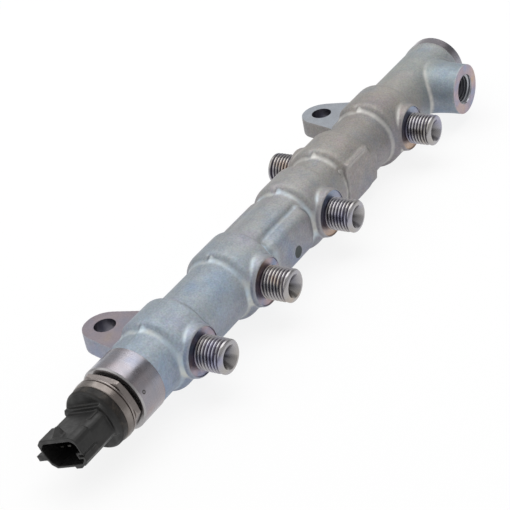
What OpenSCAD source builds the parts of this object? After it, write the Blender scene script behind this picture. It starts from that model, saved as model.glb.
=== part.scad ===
// Forged high-pressure fuel rail for a four-cylinder engine, with its
// screwed-in pressure sensor. X runs along the rail from the sensor end,
// the four outlet ports point to -Y, the two mounting ears to +Y.
// The origin is midway between the two ear holes, on the seating plane.

/* [Rail tube] */
// Outer diameter of the forged tube between the hubs
tube_d = 27.4; // [25:0.2:30]
// Diameter of the fuel gallery drilled through the rail
bore_d = 10; // [8:0.5:12]
// Diameter of the turned collars at both ends
collar_d = 28.2; // [27:0.2:31]
// Length of the turned collar at the sensor end
near_collar_len = 13.5; // [10:0.5:16]
// Length of the turned collar at the far end
far_collar_len = 6.8; // [4:0.2:9]
// Distance from the side port to the far end face
end_reach = 21.8; // [19:0.2:30]

/* [Outlet hubs] */
// Distance from the sensor end face to the first outlet port
port_1_x = 36; // [34:0.5:44]
// Spacing of outlet ports 1 and 2
pitch_12 = 48.6; // [44:0.2:60]
// Spacing of outlet ports 2 and 3
pitch_23 = 52.9; // [48:0.2:64]
// Spacing of outlet ports 3 and 4
pitch_34 = 74.7; // [70:0.2:90]
// Distance from outlet port 4 to the side port
side_from_4 = 39.1; // [38:0.2:50]
// Outer diameter of the hubs
hub_d = 33; // [31:0.2:36]
// Reach of a hub from its port towards the sensor end
hub_near = 9.6; // [8:0.2:11]
// Reach of a hub from its port towards the far end
hub_far = 8.2; // [7:0.2:10]
// Reach of the longer hub 4 towards the sensor end
hub_4_near = 12.6; // [10:0.2:14]
// Radius that rounds the step between tube and hub
step_r = 2; // [1.6:0.1:3]
// Distance by which the back half of a hub starts nearer the sensor
back_shift = 1.6; // [1:0.1:2.4]

/* [High-pressure studs] */
// Major diameter of the male thread on the studs
stud_d = 13.9; // [13:0.1:16]
// Distance from the rail axis to the tip of an outlet stud
stud_tip = 29.1; // [27:0.1:33]
// Distance from the rail axis to the spot-faced ring round a stud
ring_y = 16.9; // [16:0.1:18]
// Diameter of the spot-faced ring
ring_d = 20.4; // [19:0.2:23]
// Depth of the spot face sunk into the ring
spot_depth = 1.2; // [0.8:0.1:1.6]
// Diameter of the neck behind the thread
neck_d = 11.9; // [11:0.1:12.6]
// Length of the neck behind the thread
neck_len = 0.7; // [0.4:0.1:1.4]
// Mouth diameter of the conical seat
cone_d = 8.8; // [7.5:0.1:9.5]
// Included angle of the conical seat
cone_angle = 60; // [56:1:64]
// Diameter of the hole behind the conical seat
port_hole_d = 3; // [2:0.1:4]
// Diameter of the throttle that opens into the gallery
throttle_d = 1; // [0.8:0.1:1.6]
// Distance from outlet port 3 to the inlet port
inlet_from_3 = 27.8; // [26:0.2:31]
// Distance from the rail axis to the tip of the inlet stud
inlet_tip = 28.1; // [27:0.1:33]

/* [Clamping pads] */
// Length of the pads between hubs 2 and 3
pad_len = 25; // [20:0.5:26]
// Length of the slope at the sensor end of the pads
pad_slope = 6; // [3:0.5:7]
// Distance from the middle of the pads to outlet port 3
pad_from_3 = 23.6; // [22:0.1:26]
// Distance from the rail axis to the face of a pad
pad_y = 14.5; // [14:0.1:15.5]
// Height of the flat face of the pads
pad_h = 12.4; // [11:0.2:14]
// Distance from the inlet port to the near end of its hub
inlet_hub_near = 7.3; // [6.5:0.1:9]
// Distance from the inlet port to the far end of its hub
inlet_hub_far = 11.8; // [10:0.2:13]
// Distance from the inlet port to the far end of its front block
block_far = 17.6; // [15:0.2:19]
// Distance from the rail axis to the flat front of the block
block_y = 13.5; // [13:0.1:14.5]
// Height of the front block
block_h = 20; // [18:0.2:21]

/* [Mounting ears] */
// Distance of ear hole 1 from outlet port 1, towards the sensor
ear_1_back = 5.7; // [4:0.1:8]
// Distance of ear hole 2 from outlet port 4, towards the sensor
ear_2_back = 9.3; // [6:0.1:12]
// Distance from the rail axis to the ear holes
ear_reach = 23.8; // [23:0.1:27]
// Diameter of the ear holes, clearance for M8
ear_hole_d = 9; // [8.4:0.1:10]
// Radius of an ear round its hole
ear_r = 9.4; // [8:0.1:11]
// Thickness of an ear
ear_t = 8; // [6:0.5:10]
// Angle at which the near flank of an ear spreads to its root
ear_flare_near = 13; // [8:1:18]
// Angle at which the far flank of an ear spreads to its root
ear_flare_far = 18; // [10:1:22]

/* [Side port] */
// Outer diameter of the side boss
side_boss_d = 23.2; // [22:0.2:25]
// Radius to which the side boss spreads along the tube
side_flare_r = 18; // [15:0.2:18.6]
// Distance from the rail axis to the face of the side boss
side_boss_y = 25; // [23:0.2:28]
// Tapping diameter of the side port
side_hole_d = 12.4; // [11:0.1:13]
// Diameter of the countersink at the mouth of the side port
side_mouth_d = 14.4; // [13.6:0.1:15]
// Depth of the side port thread
side_thread_len = 12; // [9:0.5:13]

/* [Far end] */
// Tapping diameter of the far end bore
far_hole_d = 16.4; // [14:0.1:18]
// Depth of the far end bore
far_hole_len = 16; // [12:0.5:18]

/* [Sensor body] */
// Major diameter of the sensor thread
stem_d = 18; // [16:0.5:20]
// Length of the sensor stem below the hexagon
stem_len = 16; // [13:0.5:18]
// Clearance between the sensor thread and the tapped bore
thread_gap = 0.15; // [0.1:0.05:0.3]
// Gap between the end face and the hexagon
hex_gap = 1.6; // [1:0.1:2]
// Size of the hexagon across flats
hex_af = 24; // [22:0.5:27]
// Thickness of the hexagon
hex_t = 2.9; // [2.6:0.1:5]
// Thickness of the round rim in front of the hexagon
rim_t = 1.1; // [0.9:0.1:1.4]
// Depth of the recess that takes the moulding
recess_len = 2.7; // [2.4:0.1:2.8]
// Diameter of the pressure hole in the stem
stem_hole_d = 3.5; // [2.5:0.1:5]

/* [Sensor housing] */
// Diameter of the crimp sleeve
sleeve_d = 26.5; // [26.2:0.1:27]
// Wall thickness of the crimp sleeve
sleeve_t = 1; // [0.8:0.1:1.2]
// Length of the crimp sleeve
sleeve_len = 3.4; // [2.6:0.1:4]
// Larger diameter of the moulded base
base_d = 25.4; // [25:0.1:25.8]
// Smaller diameter of the moulded base
base_front_d = 23.6; // [23.4:0.1:25]
// Length of the moulded base outside the sleeve
base_len = 4; // [3.4:0.1:6]
// Length of the connector from the base to its mouth
plug_len = 19; // [17:0.1:22]
// Width of the connector
plug_w = 20.6; // [20:0.2:21.6]
// Height of the connector
plug_h = 12.4; // [12:0.2:13]
// Wall of the connector round its socket
plug_wall = 0.9; // [0.7:0.1:1.2]
// Depth of the connector socket
socket_len = 13; // [11:0.5:14]
// Turn of the connector about the rail axis
plug_turn = -20; // [-45:0.5:45]

/* [Sensor inside] */
// Diameter of the measuring cell
cell_d = 7.6; // [7:0.1:9]
// Height of the measuring cell
cell_h = 2.2; // [2:0.1:2.8]
// Thickness of the circuit board
board_t = 1; // [0.8:0.1:1.6]
// Diameter of the circuit board
board_d = 18; // [16:0.5:18]
// Section diameter of the seal ring
seal_d = 1.3; // [1.1:0.1:1.3]
// Width of a terminal blade
blade_w = 1.5; // [1:0.1:2]
// Thickness of a terminal blade
blade_t = 0.6; // [0.5:0.1:0.8]
// Spacing of the terminals
blade_pitch = 4; // [3.4:0.1:4.6]

/* [Hidden] */
$fn = 64;
// Overshoot of a cutting solid past the face it cuts
cut = 1;

// Positions along the rail
port_2_x = port_1_x + pitch_12;
port_3_x = port_2_x + pitch_23;
port_4_x = port_3_x + pitch_34;
port_xs = [port_1_x, port_2_x, port_3_x, port_4_x];
inlet_x = port_3_x + inlet_from_3;
side_x = port_4_x + side_from_4;
rail_len = side_x + end_reach;
ear_1_x = port_1_x - ear_1_back;
ear_2_x = port_4_x - ear_2_back;
pad_x = port_3_x - pad_from_3;
mount_mid_x = (ear_1_x + ear_2_x) / 2;

// Radii of the rail
tube_r = tube_d / 2;
collar_r = collar_d / 2;
hub_r = hub_d / 2;
bore_r = bore_d / 2;
ear_hole_r = ear_hole_d / 2;
// Segments of each of the two arcs that round a step
arc_parts = 3;
// Chamfer at the ends of the rail and run-out behind a collar
end_chamfer = 0.8;
run_out = 1;

// The flanks of an ear run this far inside the tangent of its round end
web_inset = 0.1;

// Studs
stud_r = stud_d / 2;
ring_r = ring_d / 2;
// Forging draft of a boss, measured at its root
boss_draft = 0.9;
boss_root_y = 8;
// Width of the rim left round a spot face, and slope of its wall
spot_rim = 0.3;
spot_slope = 0.9;
tip_chamfer = 1.1;
cone_tan = tan(cone_angle / 2);
cone_depth = (cone_d - port_hole_d) / 2 / cone_tan;
stud_len = stud_tip - ring_y;
inlet_ring_y = inlet_tip - stud_len;
throttle_len = 3;
// Slope of the cone that a drill leaves at the bottom of a hole
drill_tan = tan(60);

// Side port
side_hole_r = side_hole_d / 2;
side_sink = (side_mouth_d - side_hole_d) / 2;
side_rim = 1.2;
side_duct_d = 4;
// Stations of the spread of the side boss, from the rail axis
flare_y = [6, 11.5, 17.5];
flare_mid = 0.45;
flare_inset = 0.1;

// The dies part on a plane at this angle; the lip of a back half is a cone
parting_turn = -7;
lip_run = 1.4;
lip_inset = 0.1;
lip_sink = 0.6;
lip_len = 4;

// Section of a pad above its flat face, back to its root, and the depth
// to which its sloping end runs
pad_shoulder = [0.9, 2.1];
pad_back = [4.1, 3.8];
pad_root_y = 8;
pad_root_h = 21.2;
pad_sink = 1;
pad_margin = 0.1;

// Front block of the inlet hub; the flat starts before the hub does
block_slant = 5;
block_nose = 1;
block_near = 6.2;
flat_lead = 0.8;

// Sensor stations, on X with the near end face at zero
stem_r = stem_d / 2;
near_hole_r = stem_r + thread_gap;
// The sealing cone keeps this far from the thread and from the gallery
seat_margin = 1;
seat_r_out = stem_r - seat_margin;
seat_r_in = bore_r + seat_margin;
hex_back = -hex_gap;
hex_front = hex_back - hex_t;
hex_chamfer = 0.7;
// Turn that sets the corners of the hexagon
hex_corner = 2;
stem_lead = 0.8;
stem_hole_r = stem_hole_d / 2;
rim_front = hex_front - rim_t;
recess_floor = rim_front + recess_len;
recess_r = 10.8;
sleeve_r = sleeve_d / 2;
rim_inset = 0.1;
rim_r = sleeve_r - rim_inset;
collar_in_r = sleeve_r - sleeve_t;
sleeve_front = rim_front - sleeve_len;
sleeve_round = 0.3;
// The sleeve narrows towards its front edge
sleeve_taper = 0.3;
base_r = base_d / 2;
base_front_r = base_front_d / 2;
base_chamfer = 1;
base_front = sleeve_front - base_len;
plug_front = base_front - plug_len;
socket_back = plug_front + socket_len;

// Inside the sensor
cell_r = cell_d / 2;
cell_wall = 0.6;
carrier_r_in = 4.6;
board_r = board_d / 2;
board_gap = 0.4;
board_back = recess_floor - cell_h - board_gap;
board_front = board_back - board_t;
cavity_gap = 0.3;
cavity_len = 2.6;
cavity_r = board_r + cavity_gap;
cavity_front = board_front - cavity_len;
chip_size = 4.2;
chip_h = 1;
chip_z = 5.4;
cap_size = [2, 1.25, 0.9];
cap_z = -6;
cap_pitch = 3;
seal_r = recess_r - seal_d / 2;
spigot_back = recess_floor - seal_d;
spring_w = 1.4;
spring_t = 0.3;
spring_bow = 1.1;
blade_reach = 8.5;

// Connector
plug_a = plug_w / 2;
plug_b = plug_h / 2;
// Corner at the top right of the mouth, rounded; the others are cut off
corner_r = 3.2;
corner_top = [2.2, 1.7];
corner_low = [3.4, 5.2];
corner_key = [2.2, 1.8];
// The connector is lower behind the latch
rear_drop = 0.8;
rear_len = 11;
key_z = -1.9;
key_w = 2.6;
key_reach = 3.4;
key_slot_w = 1;
key_slot_len = 8;
flange_t = 1.8;
flange_r = 11.6;
flange_top = 7.1;
latch_w = 5;
latch_l = 3;
latch_h = 2.2;
latch_back = 1;
latch_y = -0.6;
latch_root = 0.4;
tab_l = 2.6;
tab_h = 2.4;
tab_reach = 4;
tab_root = 0.5;
tab_z = -1.2;
lug_l = 2.6;
lug_w = 3.2;
lug_h = 0.9;
lug_root = 0.4;
lug_y = -4.2;
rib_l = 7;
rib_w = 1.5;
rib_h = 0.3;
rib_root = 0.6;
rib_y = -7.7;

c_zinc = [0.62, 0.65, 0.68];
c_nickel = [0.66, 0.63, 0.6];
c_steel = [0.7, 0.71, 0.72];
c_black = [0.08, 0.08, 0.09];
c_seal = [0.05, 0.05, 0.05];
c_board = [0.08, 0.3, 0.16];
c_carrier = [0.75, 0.72, 0.62];
c_tin = [0.75, 0.76, 0.76];

// Angle of each arc in a rounded step of height h
function turn_of(h) = h < 2 * step_r ? acos(1 - h / (2 * step_r)) : 90;

// Points [x, r] of a rounded step up from r_lo to r_hi with its middle at x
function step_up(x, r_lo, r_hi) =
    let (t = turn_of(r_hi - r_lo), run = step_r * sin(t))
    concat(
        [for (i = [0 : arc_parts]) let (a = t * i / arc_parts)
            [x - run + step_r * sin(a), r_lo + step_r * (1 - cos(a))]],
        [for (i = [arc_parts : -1 : 0]) let (a = t * i / arc_parts)
            [x + run - step_r * sin(a), r_hi - step_r * (1 - cos(a))]]
    );

// The same step walked down
function step_down(x, r_lo, r_hi) =
    let (p = step_up(0, r_lo, r_hi))
    [for (i = [len(p) - 1 : -1 : 0]) [x - p[i][0], p[i][1]]];

// Both steps of a hub round the port at x
function hub(x, near, far) =
    concat(step_up(x - near, tube_r, hub_r), step_down(x + far, tube_r, hub_r));

// Solid turned about the rail axis from a list of [x, r] points
module turned(points) {
    rotate([0, 90, 0]) rotate_extrude() polygon([for (p = points) [p[1], p[0]]]);
}

// Turn children drawn along +Z so that they leave the rail axis
module to_port(x) {
    translate([x, 0, 0]) rotate([90, 0, 0]) children();
}
module to_inlet(x) {
    translate([x, 0, 0]) rotate([-90, 0, 0]) children();
}

// Box from its lowest corner to its highest
module box(lo, hi) {
    translate(lo) cube(hi - lo);
}

module bar() {
    turned(concat(
        [[0, 0], [0, collar_r - end_chamfer], [end_chamfer, collar_r]],
        [[near_collar_len, collar_r], [near_collar_len + run_out, tube_r]],
        hub(port_1_x, hub_near, hub_far),
        hub(port_2_x, hub_near, hub_far),
        hub(port_3_x, hub_near, hub_far),
        hub(inlet_x, inlet_hub_near, inlet_hub_far),
        hub(port_4_x, hub_4_near, hub_far),
        [[rail_len - far_collar_len - run_out, tube_r], [rail_len - far_collar_len, collar_r]],
        [[rail_len - end_chamfer, collar_r], [rail_len, collar_r - end_chamfer], [rail_len, 0]]
    ));
}

// Front lip of the back half of a hub, which starts nearer the sensor
module back_lip(x) {
    a = x - back_shift - lip_run;
    b = x - back_shift + lip_run;
    intersection() {
        turned([
            [a, tube_r - lip_sink], [b, hub_r - lip_inset], [b + lip_len, hub_r - lip_inset],
            [b + lip_len, tube_r - lip_sink]
        ]);
        rotate([parting_turn, 0, 0]) box([a - cut, 0, -hub_d], [b + lip_len + cut, hub_d, hub_d]);
    }
}

// Forged boss of a stud, drawn along +Z from the rail axis
module boss(ring) {
    translate([0, 0, boss_root_y])
        cylinder(h = ring - boss_root_y, r1 = ring_r + boss_draft, r2 = ring_r);
}

// Spot face sunk into the boss
module spot_face(ring) {
    r = ring_r - spot_rim;
    translate([0, 0, ring - spot_depth]) cylinder(h = spot_depth, r1 = r - spot_slope, r2 = r);
    translate([0, 0, ring]) cylinder(h = hub_d, r = ring_r + boss_draft);
}

// Threaded stud that rises from the spot face
module stud(ring, tip) {
    neck_end = ring - spot_depth + neck_len;
    neck_step = (stud_d - neck_d) / 2;
    cylinder(h = neck_end, d = neck_d);
    translate([0, 0, neck_end]) cylinder(h = neck_step, d1 = neck_d, r2 = stud_r);
    translate([0, 0, neck_end + neck_step])
        cylinder(h = tip - tip_chamfer - neck_end - neck_step, r = stud_r);
    translate([0, 0, tip - tip_chamfer])
        cylinder(h = tip_chamfer, r1 = stud_r, r2 = stud_r - tip_chamfer);
}

// Conical seat and the drilled way behind it; duct is the hole into the gallery
module stud_way(tip, duct) {
    translate([0, 0, tip - cone_depth])
        cylinder(h = cone_depth + cut, d1 = port_hole_d, d2 = cone_d + 2 * cut * cone_tan);
    translate([0, 0, bore_r + throttle_len])
        cylinder(h = tip - cone_depth - bore_r - throttle_len + cut / 2, d = port_hole_d);
    cylinder(h = bore_r + throttle_len + cut, d = duct);
}

// Mounting ear with its web, lying on the plane of the rail axis
module ear(x) {
    web_r = ear_r - web_inset;
    near_root = web_r / cos(ear_flare_near) + ear_reach * tan(ear_flare_near);
    far_root = web_r / cos(ear_flare_far) + ear_reach * tan(ear_flare_far);
    translate([x, ear_reach, 0]) {
        cylinder(h = ear_t, r = ear_r);
        linear_extrude(ear_t) polygon([
            [-near_root, -ear_reach],
            [far_root, -ear_reach],
            [web_r * cos(ear_flare_far), web_r * sin(ear_flare_far)],
            [-web_r * cos(ear_flare_near), web_r * sin(ear_flare_near)]
        ]);
    }
}

module ear_hole(x) {
    translate([x, ear_reach, -cut]) cylinder(h = ear_t + 2 * cut, r = ear_hole_r);
}

// Block between hubs 2 and 3 with a flat clamping pad on each side; its
// sensor end slopes down to the tube
module clamping_pads() {
    a = pad_x - pad_len / 2;
    b = pad_x + pad_len / 2;
    start = a - pad_slope;
    y = pad_y + pad_margin;
    z = pad_h / 2;
    corner = [
        [pad_root_y, pad_root_h / 2], [pad_y - pad_back[0], z + pad_back[1]],
        [pad_y - pad_shoulder[0], z + pad_shoulder[1]], [pad_y, z]
    ];
    intersection() {
        translate([start, 0, 0]) rotate([90, 0, 90]) linear_extrude(b - start) polygon(concat(
            corner, [for (i = [3 : -1 : 0]) [corner[i][0], -corner[i][1]]],
            [for (p = corner) -p], [for (i = [3 : -1 : 0]) [-corner[i][0], corner[i][1]]]
        ));
        translate([0, 0, -hub_r]) linear_extrude(hub_d) polygon([
            [start, -y + pad_sink], [a, -y], [b, -y], [b, y], [a, y], [start, y - pad_sink]
        ]);
    }
}

// Front block beside the inlet, with a slanting far end
module inlet_block() {
    z = block_h / 2;
    translate([inlet_x, 0, 0]) rotate([90, 0, 0]) linear_extrude(block_y) polygon([
        [-block_near, -z], [block_far, -z], [block_far + block_nose, -z / 2],
        [block_far - block_slant, z], [-block_near, z]
    ]);
}

// Boss of the tapped side port, which spreads along the tube at its root
module side_boss() {
    r = side_boss_d / 2;
    mid_r = r + flare_mid * (side_flare_r - r);
    z = r - flare_inset;
    intersection() {
        to_port(side_x) {
            translate([0, 0, flare_y[0]])
                cylinder(h = flare_y[1] - flare_y[0], r1 = side_flare_r, r2 = mid_r);
            translate([0, 0, flare_y[1]])
                cylinder(h = flare_y[2] - flare_y[1], r1 = mid_r, r2 = r);
        }
        box([side_x - 2 * side_flare_r, -hub_d, -z], [side_x + 2 * side_flare_r, 0, z]);
    }
    to_port(side_x) {
        cylinder(h = side_boss_y - side_rim, r = r);
        translate([0, 0, side_boss_y - side_rim]) cylinder(h = side_rim, r1 = r, r2 = r - side_rim);
    }
}

module side_way() {
    floor_y = side_boss_y - side_thread_len;
    to_port(side_x) {
        translate([0, 0, floor_y]) cylinder(h = side_thread_len + cut, r = side_hole_r);
        translate([0, 0, side_boss_y - side_sink])
            cylinder(h = side_sink + cut, r1 = side_hole_r, r2 = side_hole_r + side_sink + cut);
        translate([0, 0, floor_y - side_hole_r / drill_tan])
            cylinder(h = side_hole_r / drill_tan, r1 = 0, r2 = side_hole_r);
        cylinder(h = floor_y, d = side_duct_d);
    }
}

// Gallery, sensor bore with its sealing cone, and the bore at the far end
module gallery() {
    far_r = far_hole_d / 2;
    turned([
        [-cut, 0], [-cut, near_hole_r], [stem_len, near_hole_r],
        [stem_len + (near_hole_r - bore_r) / drill_tan, bore_r],
        [rail_len - far_hole_len - (far_r - bore_r) / drill_tan, bore_r],
        [rail_len - far_hole_len, far_r], [rail_len + cut, far_r], [rail_len + cut, 0]
    ]);
}

module rail_body() {
    color(c_zinc) difference() {
        union() {
            difference() {
                union() {
                    bar();
                    for (x = port_xs) {
                        back_lip(x - (x == port_4_x ? hub_4_near : hub_near));
                        to_port(x) boss(ring_y);
                    }
                    back_lip(inlet_x - inlet_hub_near);
                    to_inlet(inlet_x) boss(inlet_ring_y);
                    clamping_pads();
                    inlet_block();
                    ear(ear_1_x);
                    ear(ear_2_x);
                    side_boss();
                }
                for (x = port_xs) to_port(x) spot_face(ring_y);
                to_inlet(inlet_x) spot_face(inlet_ring_y);
            }
            for (x = port_xs) to_port(x) stud(ring_y, stud_tip);
            to_inlet(inlet_x) stud(inlet_ring_y, inlet_tip);
        }
        gallery();
        for (x = port_xs) to_port(x) stud_way(stud_tip, throttle_d);
        to_inlet(inlet_x) stud_way(inlet_tip, port_hole_d);
        side_way();
        ear_hole(ear_1_x);
        ear_hole(ear_2_x);
        // Flat milled across the front of the inlet hub
        box([inlet_x - inlet_hub_near - flat_lead, -hub_d, -hub_r],
            [inlet_x + block_far, -block_y, hub_r]);
    }
}

// Turned steel body: threaded stem with its sealing cone, and the hexagon
module sensor_body() {
    nose_out = stem_len + (near_hole_r - seat_r_out) / drill_tan;
    nose_in = stem_len + (near_hole_r - seat_r_in) / drill_tan;
    across = hex_af / cos(30);
    color(c_nickel) difference() {
        union() {
            turned([
                [rim_front, 0], [rim_front, rim_r], [hex_front, rim_r],
                [hex_front, hex_af / 2 - hex_chamfer], [hex_back, hex_af / 2 - hex_chamfer],
                [hex_back, stem_r], [stem_len - stem_lead, stem_r], [nose_out, seat_r_out],
                [nose_in, seat_r_in], [nose_in, 0]
            ]);
            intersection() {
                translate([hex_front, 0, 0]) rotate([hex_corner, 0, 0]) rotate([0, 90, 0])
                    rotate([0, 0, 90]) cylinder(h = hex_t, d = across, $fn = 6);
                turned([
                    [hex_front, 0], [hex_front, across / 2 - hex_chamfer],
                    [hex_front + hex_chamfer, across / 2], [hex_back - hex_chamfer, across / 2],
                    [hex_back, across / 2 - hex_chamfer], [hex_back, 0]
                ]);
            }
        }
        turned([
            [rim_front - cut, 0], [rim_front - cut, recess_r], [recess_floor, recess_r],
            [recess_floor, stem_hole_r], [nose_in + cut, stem_hole_r], [nose_in + cut, 0]
        ]);
    }
}

// Steel cup whose closed end is the pressure diaphragm
module measuring_cell() {
    top = recess_floor - cell_h;
    color(c_steel) turned([
        [recess_floor, stem_hole_r], [recess_floor, cell_r], [top, cell_r],
        [top, 0], [top + cell_wall, 0], [top + cell_wall, stem_hole_r]
    ]);
}

// Ring welded on the rim; it clamps the moulding
module crimp_sleeve() {
    color(c_nickel) turned([
        [rim_front, collar_in_r], [rim_front, sleeve_r - sleeve_round],
        [rim_front - sleeve_round, sleeve_r], [sleeve_front + sleeve_round, sleeve_r - sleeve_taper],
        [sleeve_front, sleeve_r - sleeve_taper - sleeve_round], [sleeve_front, collar_in_r]
    ]);
}

module seal_ring() {
    color(c_seal) translate([recess_floor - seal_d / 2, 0, 0]) rotate([0, 90, 0]) rotate_extrude()
        translate([seal_r, 0]) circle(d = seal_d, $fn = 24);
}

// Ring that carries the board over the measuring cell
module board_carrier() {
    color(c_carrier) turned([
        [recess_floor, carrier_r_in], [recess_floor, board_r], [board_back, board_r],
        [board_back, carrier_r_in]
    ]);
}

module circuit_board() {
    color(c_board) turned([
        [board_back, 0], [board_back, board_r], [board_front, board_r], [board_front, 0]
    ]);
}

// Everything that turns with the connector is drawn in its own frame
module with_plug() {
    rotate([plug_turn, 0, 0]) children();
}

module signal_chip() {
    s = chip_size / 2;
    color(c_black) with_plug()
        box([board_front - chip_h, -s, chip_z - s], [board_front, s, chip_z + s]);
}

// Filter capacitors in a row beside the contacts
module filter_capacitors() {
    color(c_carrier) with_plug() for (i = [-1, 1]) translate([board_front - cap_size[2], 0, cap_z])
        translate([0, i * cap_pitch - cap_size[0] / 2, -cap_size[1] / 2])
            cube([cap_size[2], cap_size[0], cap_size[1]]);
}

// Bowed leaf that presses a terminal against the board
module contact_spring(i) {
    x_0 = board_front;
    x_1 = cavity_front;
    mid = (x_0 + x_1) / 2;
    color(c_tin) with_plug() translate([0, i * blade_pitch - spring_w / 2, 0])
        rotate([90, 0, 0]) mirror([0, 0, 1]) linear_extrude(spring_w) polygon([
            [x_0, 0], [mid, spring_bow], [x_1, 0],
            [x_1, spring_t], [mid, spring_bow + spring_t], [x_0, spring_t]
        ]);
}
module contact_spring_1() { contact_spring(-1); }
module contact_spring_2() { contact_spring(0); }
module contact_spring_3() { contact_spring(1); }

// Blade from the board cavity through the moulding into the socket
module terminal(i) {
    color(c_tin) with_plug() translate([socket_back - blade_reach, i * blade_pitch, 0])
        translate([0, -blade_w / 2, -blade_t / 2])
            cube([cavity_front - socket_back + blade_reach, blade_w, blade_t]);
}
module terminal_1() { terminal(-1); }
module terminal_2() { terminal(0); }
module terminal_3() { terminal(1); }

// Length of connector between x_0 and x_1, its outline drawn in by w
// and its top lowered by drop
module plug_block(x_0, x_1, w, drop) {
    a = plug_a - w;
    b = plug_b - w;
    top = b - drop;
    t = corner_r - w / 2;
    translate([x_0, 0, 0]) rotate([90, 0, 90]) linear_extrude(x_1 - x_0) polygon([
        [a, top - corner_top[1]], [a - corner_top[0], top],
        for (i = [0 : 4]) [-a + t - t * sin(90 * i / 4), top - t + t * cos(90 * i / 4)],
        [-a, -b + corner_key[1]], [-a + corner_key[0], -b],
        [a - corner_low[0], -b], [a - corner_low[0] / 3, -b + corner_low[1] / 3],
        [a, -b + corner_low[1]]
    ]);
}

// Root flange of the connector on the face of the moulded base
module root_flange() {
    intersection() {
        turned([[base_front - flange_t, 0], [base_front - flange_t, flange_r],
            [base_front + base_chamfer, flange_r], [base_front + base_chamfer, 0]]);
        box([base_front - flange_t, -flange_r, -plug_b], [base_front + base_chamfer, plug_a, flange_top]);
    }
}

// Ramp on top of the connector that the cable plug snaps over
module latch_ramp() {
    x = plug_front + latch_back;
    translate([0, latch_y + latch_w / 2, 0]) rotate([90, 0, 0]) linear_extrude(latch_w) polygon([
        [x, plug_b - latch_root], [x, plug_b], [x + latch_l, plug_b + latch_h],
        [x + latch_l, plug_b - latch_root]
    ]);
}

// One moulding: base, connector and the key in its socket
module sensor_housing() {
    color(c_black) difference() {
        union() {
            turned([
                [spigot_back, cavity_r], [spigot_back, recess_r], [rim_front, recess_r],
                [rim_front, collar_in_r], [sleeve_front, collar_in_r], [sleeve_front, base_r],
                [base_front + base_chamfer, base_r], [base_front, base_front_r],
                [base_front, 0], [cavity_front, 0], [cavity_front, cavity_r]
            ]);
            with_plug() {
                difference() {
                    union() {
                        plug_block(plug_front, base_front - rear_len, 0, 0);
                        plug_block(plug_front + plug_wall, base_front + base_chamfer, 0, rear_drop);
                    }
                    plug_block(plug_front - cut, socket_back, plug_wall, rear_drop);
                }
                root_flange();
                latch_ramp();
                box([plug_front, -plug_a, key_z - key_w / 2],
                    [socket_back, -plug_a + key_reach, key_z + key_w / 2]);
                box([plug_front, plug_a - tab_root, tab_z - tab_h / 2],
                    [plug_front + tab_l, plug_a + tab_reach, tab_z + tab_h / 2]);
                box([plug_front, lug_y - lug_w / 2, -plug_b - lug_h],
                    [plug_front + lug_l, lug_y + lug_w / 2, -plug_b + lug_root]);
                box([base_front - rib_l, rib_y - rib_w / 2, plug_b - rear_drop - rib_root],
                    [base_front + base_chamfer, rib_y + rib_w / 2, plug_b - rear_drop + rib_h]);
            }
        }
        with_plug() {
            box([plug_front - cut, -plug_a - cut, key_z - key_slot_w / 2],
                [plug_front + key_slot_len, -plug_a + key_reach - plug_wall, key_z + key_slot_w / 2]);
            for (i = [-1 : 1]) box(
                [socket_back - cut, i * blade_pitch - blade_w / 2, -blade_t / 2],
                [cavity_front + cut, i * blade_pitch + blade_w / 2, blade_t / 2]);
        }
    }
}

// The rail's own frame is shifted so that the ear pattern is the origin
module placed() {
    translate([-mount_mid_x, -ear_reach, 0]) children();
}

placed() rail_body();
placed() sensor_body();
placed() measuring_cell();
placed() crimp_sleeve();
placed() seal_ring();
placed() board_carrier();
placed() circuit_board();
placed() signal_chip();
placed() filter_capacitors();
placed() contact_spring_1();
placed() contact_spring_2();
placed() contact_spring_3();
placed() sensor_housing();
placed() terminal_1();
placed() terminal_2();
placed() terminal_3();
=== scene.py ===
import bpy
import bmesh
import math
from mathutils import Matrix, Vector


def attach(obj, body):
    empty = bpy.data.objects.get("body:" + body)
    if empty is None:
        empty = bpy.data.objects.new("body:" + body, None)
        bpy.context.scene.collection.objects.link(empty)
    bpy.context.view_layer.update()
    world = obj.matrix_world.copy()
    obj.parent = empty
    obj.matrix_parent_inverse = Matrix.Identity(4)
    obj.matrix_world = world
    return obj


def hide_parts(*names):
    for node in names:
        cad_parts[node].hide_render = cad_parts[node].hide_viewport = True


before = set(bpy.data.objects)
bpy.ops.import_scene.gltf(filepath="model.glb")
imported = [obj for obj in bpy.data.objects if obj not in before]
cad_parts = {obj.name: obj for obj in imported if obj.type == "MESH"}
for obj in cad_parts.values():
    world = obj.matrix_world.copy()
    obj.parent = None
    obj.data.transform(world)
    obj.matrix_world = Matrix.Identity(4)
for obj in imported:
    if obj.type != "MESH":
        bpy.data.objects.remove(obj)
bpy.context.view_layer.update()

# The camera stands beyond the sensor end, in front of the studs and above them, and leans a
# little, as the photographer held it.
EYE = Vector((-0.45732, -0.36857, 0.33990))
RIGHT = Vector((0.511769, -0.838946, -0.185101))
UP = Vector((0.533060, 0.141114, 0.834226))
lens = bpy.data.cameras.new("camera")
lens.lens, lens.sensor_width = 112.83, 36.0
lens.clip_start, lens.clip_end = 0.02, 20.0
camera = bpy.data.objects.new("camera", lens)
bpy.context.collection.objects.link(camera)
pose = Matrix((RIGHT, UP, RIGHT.cross(UP))).transposed().to_4x4()
pose.translation = EYE
camera.matrix_world = pose
bpy.context.scene.camera = camera

# The forging: one steel bar, drop forged in two half dies that part along its top and bottom.
# Hubs, stud bosses, clamping pads, ears and the side boss are all of one metal, with rounded
# fillets between them, and the whole is shot blasted and zinc plated.
MM = 0.001
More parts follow.
